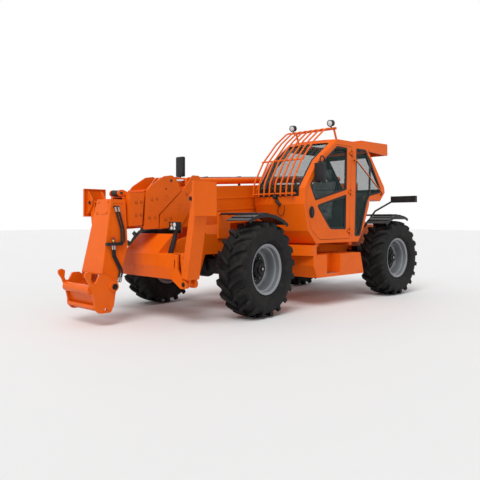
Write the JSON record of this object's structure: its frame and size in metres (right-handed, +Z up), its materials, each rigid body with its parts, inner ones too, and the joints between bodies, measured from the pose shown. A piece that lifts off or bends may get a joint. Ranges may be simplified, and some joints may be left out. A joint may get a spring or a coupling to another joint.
{
  "type": "telehandler",
  "caption": "Telescopic handler with a side cab, a telescoping boom with a drop nose and tilting quick-hitch carriage, steered wheels and swing-down front stabilisers.",
  "frame": {"origin": "centre of the bounding box at ground level", "axes": "+X forward along the machine, +Y to its left, +Z up"},
  "size_m": [6.21, 2.5604, 2.7887],
  "materials": {
    "orange_paint": "gloss",
    "black_paint": "satin",
    "grey_paint": "satin",
    "rim_paint": "satin",
    "tyre_rubber": "matte",
    "black_plastic": "matte",
    "tinted_glass": "gloss",
    "seat_fabric": "matte",
    "chrome_rod": "polished",
    "cast_metal": "satin"
  },
  "bodies": {
    "chassis": {"chassis_frame": "orange_paint", "front_bridge": "orange_paint", "front_axle": "cast_metal", "rear_axle": "cast_metal", "side_boxes": "orange_paint", "engine_pod": "orange_paint", "engine_block": "cast_metal", "cab_shell": "orange_paint", "cab_glass": "tinted_glass", "screen_guard": "orange_paint", "seat": "seat_fabric", "cab_controls": "grey_paint", "fenders": "black_plastic", "lamps": "black_plastic", "mirror_right": "black_plastic", "counterweight": "orange_paint", "exhaust": "black_paint", "drive_line": "grey_paint"},
    "knuckle_front_left": {"knuckle_front_left": "cast_metal"},
    "wheel_front_left": {"tyre_front_left": "tyre_rubber", "rim_front_left": "rim_paint", "hub_front_left": "cast_metal"},
    "knuckle_front_right": {"knuckle_front_right": "cast_metal"},
    "wheel_front_right": {"tyre_front_right": "tyre_rubber", "rim_front_right": "rim_paint", "hub_front_right": "cast_metal"},
    "knuckle_rear_left": {"knuckle_rear_left": "cast_metal"},
    "wheel_rear_left": {"tyre_rear_left": "tyre_rubber", "rim_rear_left": "rim_paint", "hub_rear_left": "cast_metal"},
    "knuckle_rear_right": {"knuckle_rear_right": "cast_metal"},
    "wheel_rear_right": {"tyre_rear_right": "tyre_rubber", "rim_rear_right": "rim_paint", "hub_rear_right": "cast_metal"},
    "boom_outer": {"boom_outer": "orange_paint", "extend_barrel": "orange_paint", "boom_hoses": "black_plastic"},
    "boom_second": {"boom_second": "orange_paint", "extend_rod": "chrome_rod"},
    "boom_third": {"boom_third": "orange_paint", "hose_pulley": "black_paint"},
    "boom_nose": {"boom_nose": "orange_paint", "nose_hoses": "black_plastic"},
    "carriage": {"carriage": "orange_paint"},
    "lift_barrel": {"lift_barrel": "orange_paint"},
    "lift_rod": {"lift_rod": "chrome_rod"},
    "tilt_barrel": {"tilt_barrel": "black_paint"},
    "tilt_rod": {"tilt_rod": "chrome_rod"},
    "stabiliser_arm_left": {"stabiliser_arm_left": "orange_paint"},
    "stabiliser_foot_left": {"stabiliser_foot_left": "orange_paint"},
    "leg_barrel_left": {"leg_barrel_left": "black_paint"},
    "leg_rod_left": {"leg_rod_left": "chrome_rod"},
    "stabiliser_arm_right": {"stabiliser_arm_right": "orange_paint"},
    "stabiliser_foot_right": {"stabiliser_foot_right": "orange_paint"},
    "leg_barrel_right": {"leg_barrel_right": "black_paint"},
    "leg_rod_right": {"leg_rod_right": "chrome_rod"},
    "cab_door": {"cab_door": "orange_paint", "door_glass": "tinted_glass", "mirror_left": "black_plastic"},
    "engine_hood": {"engine_hood": "orange_paint"}
  },
  "joints": [
    {"name": "steer_front_left", "type": "hinge", "parent": "chassis", "child": "knuckle_front_left", "pos_m": [1.075, 0.8, 0.625], "axis": [0, 0, 1], "range_deg": [-37.5, 22.5]},
    {"name": "steer_front_right", "type": "hinge", "parent": "chassis", "child": "knuckle_front_right", "pos_m": [1.075, -0.8, 0.625], "axis": [0, 0, 1], "range_deg": [-37.5, 22.5]},
    {"name": "steer_rear_left", "type": "hinge", "parent": "chassis", "child": "knuckle_rear_left", "pos_m": [-2.225, 0.8, 0.625], "axis": [0, 0, 1], "range_deg": [-30, 30]},
    {"name": "steer_rear_right", "type": "hinge", "parent": "chassis", "child": "knuckle_rear_right", "pos_m": [-2.225, -0.8, 0.625], "axis": [0, 0, 1], "range_deg": [-30, 30]},
    {"name": "spin_front_left", "type": "hinge", "parent": "knuckle_front_left", "child": "wheel_front_left", "pos_m": [1.04889, 0.99829, 0.625], "axis": [-0.1305, 0.9914, 0], "continuous": true},
    {"name": "spin_front_right", "type": "hinge", "parent": "knuckle_front_right", "child": "wheel_front_right", "pos_m": [1.10111, -0.99829, 0.625], "axis": [-0.1305, 0.9914, 0], "continuous": true},
    {"name": "spin_rear_left", "type": "hinge", "parent": "knuckle_rear_left", "child": "wheel_rear_left", "pos_m": [-2.225, 1, 0.625], "axis": [0, 1, 0], "continuous": true},
    {"name": "spin_rear_right", "type": "hinge", "parent": "knuckle_rear_right", "child": "wheel_rear_right", "pos_m": [-2.225, -1, 0.625], "axis": [0, 1, 0], "continuous": true},
    {"name": "boom_lift", "type": "hinge", "parent": "chassis", "child": "boom_outer", "pos_m": [-2.525, -0.11, 1.672], "axis": [0, -1, 0], "range_deg": [0, 68]},
    {"name": "lift_barrel_swing", "type": "hinge", "parent": "chassis", "child": "lift_barrel", "pos_m": [-1.935, -0.11, 0.79], "axis": [0, -1, 0], "range_deg": [0, 64.61]},
    {"name": "lift_rod_stroke", "type": "slide", "parent": "lift_barrel", "child": "lift_rod", "axis": [0.9804, 0, 0.1972], "range_m": [0, 1.1861]},
    {"name": "boom_extend", "type": "slide", "parent": "boom_outer", "child": "boom_second", "axis": [0.9984, 0, -0.0566], "range_m": [0, 3.4]},
    {"name": "extend_third", "type": "slide", "parent": "boom_second", "child": "boom_third", "axis": [0.9984, 0, -0.0566], "range_m": [0, 3.4]},
    {"name": "extend_nose", "type": "slide", "parent": "boom_third", "child": "boom_nose", "axis": [0.9984, 0, -0.0566], "range_m": [0, 3.4]},
    {"name": "carriage_tilt", "type": "hinge", "parent": "boom_nose", "child": "carriage", "pos_m": [2.725, -0.11, 0.466], "axis": [0, 1, 0], "range_deg": [-15, 100]},
    {"name": "tilt_barrel_swing", "type": "hinge", "parent": "boom_nose", "child": "tilt_barrel", "pos_m": [2.58, -0.11, 1.19], "axis": [0, 1, 0], "range_deg": [-4.39, 0.67]},
    {"name": "tilt_rod_stroke", "type": "slide", "parent": "tilt_barrel", "child": "tilt_rod", "axis": [0.0189, 0, -0.9998], "range_m": [-0.2223, 0.0338]},
    {"name": "stabiliser_left", "type": "hinge", "parent": "chassis", "child": "stabiliser_arm_left", "pos_m": [2.125, 0.914, 0.503], "axis": [-1, 0, 0], "range_deg": [0, 101]},
    {"name": "foot_swivel_left", "type": "hinge", "parent": "stabiliser_arm_left", "child": "stabiliser_foot_left", "pos_m": [2.125, 1.11524, 1.51009], "axis": [1, 0, 0], "range_deg": [-8, 25]},
    {"name": "leg_barrel_swing_left", "type": "hinge", "parent": "chassis", "child": "leg_barrel_left", "pos_m": [2.125, 0.095, 0.68], "axis": [-1, 0, 0], "range_deg": [0, 18.49]},
    {"name": "leg_rod_stroke_left", "type": "slide", "parent": "leg_barrel_left", "child": "leg_rod_left", "axis": [0, 0.9817, 0.1905], "range_m": [0, 0.4296]},
    {"name": "stabiliser_right", "type": "hinge", "parent": "chassis", "child": "stabiliser_arm_right", "pos_m": [2.125, -0.914, 0.503], "axis": [1, 0, 0], "range_deg": [0, 101]},
    {"name": "foot_swivel_right", "type": "hinge", "parent": "stabiliser_arm_right", "child": "stabiliser_foot_right", "pos_m": [2.125, -1.11524, 1.51009], "axis": [-1, 0, 0], "range_deg": [-8, 25]},
    {"name": "leg_barrel_swing_right", "type": "hinge", "parent": "chassis", "child": "leg_barrel_right", "pos_m": [2.125, -0.095, 0.68], "axis": [1, 0, 0], "range_deg": [0, 18.49]},
    {"name": "leg_rod_stroke_right", "type": "slide", "parent": "leg_barrel_right", "child": "leg_rod_right", "axis": [0, -0.9817, 0.1905], "range_m": [0, 0.4296]},
    {"name": "cab_door_swing", "type": "hinge", "parent": "chassis", "child": "cab_door", "pos_m": [-0.95248, 1.108, 1.69], "axis": [-0.0593, 0, 0.9982], "range_deg": [0, 95]},
    {"name": "engine_hood_lift", "type": "hinge", "parent": "chassis", "child": "engine_hood", "pos_m": [-0.55, -0.44, 1.41], "axis": [-1, 0, 0], "range_deg": [0, 60]}
  ],
  "couplings": [
    {"joint": "steer_front_right", "follows": "steer_front_left", "ratio": 1},
    {"joint": "steer_rear_right", "follows": "steer_rear_left", "ratio": 1},
    {"joint": "lift_barrel_swing", "follows": "boom_lift", "ratio": 0.95},
    {"joint": "lift_rod_stroke", "follows": "boom_lift", "m_per_rad": 0.999},
    {"joint": "extend_third", "follows": "boom_extend", "ratio": 1},
    {"joint": "extend_nose", "follows": "boom_extend", "ratio": 1},
    {"joint": "tilt_barrel_swing", "follows": "carriage_tilt", "ratio": -0.0438},
    {"joint": "tilt_rod_stroke", "follows": "carriage_tilt", "m_per_rad": -0.1271},
    {"joint": "leg_barrel_swing_left", "follows": "stabiliser_left", "ratio": 0.183},
    {"joint": "leg_rod_stroke_left", "follows": "stabiliser_left", "m_per_rad": 0.2434},
    {"joint": "leg_barrel_swing_right", "follows": "stabiliser_right", "ratio": 0.183},
    {"joint": "leg_rod_stroke_right", "follows": "stabiliser_right", "m_per_rad": 0.2434}
  ]
}
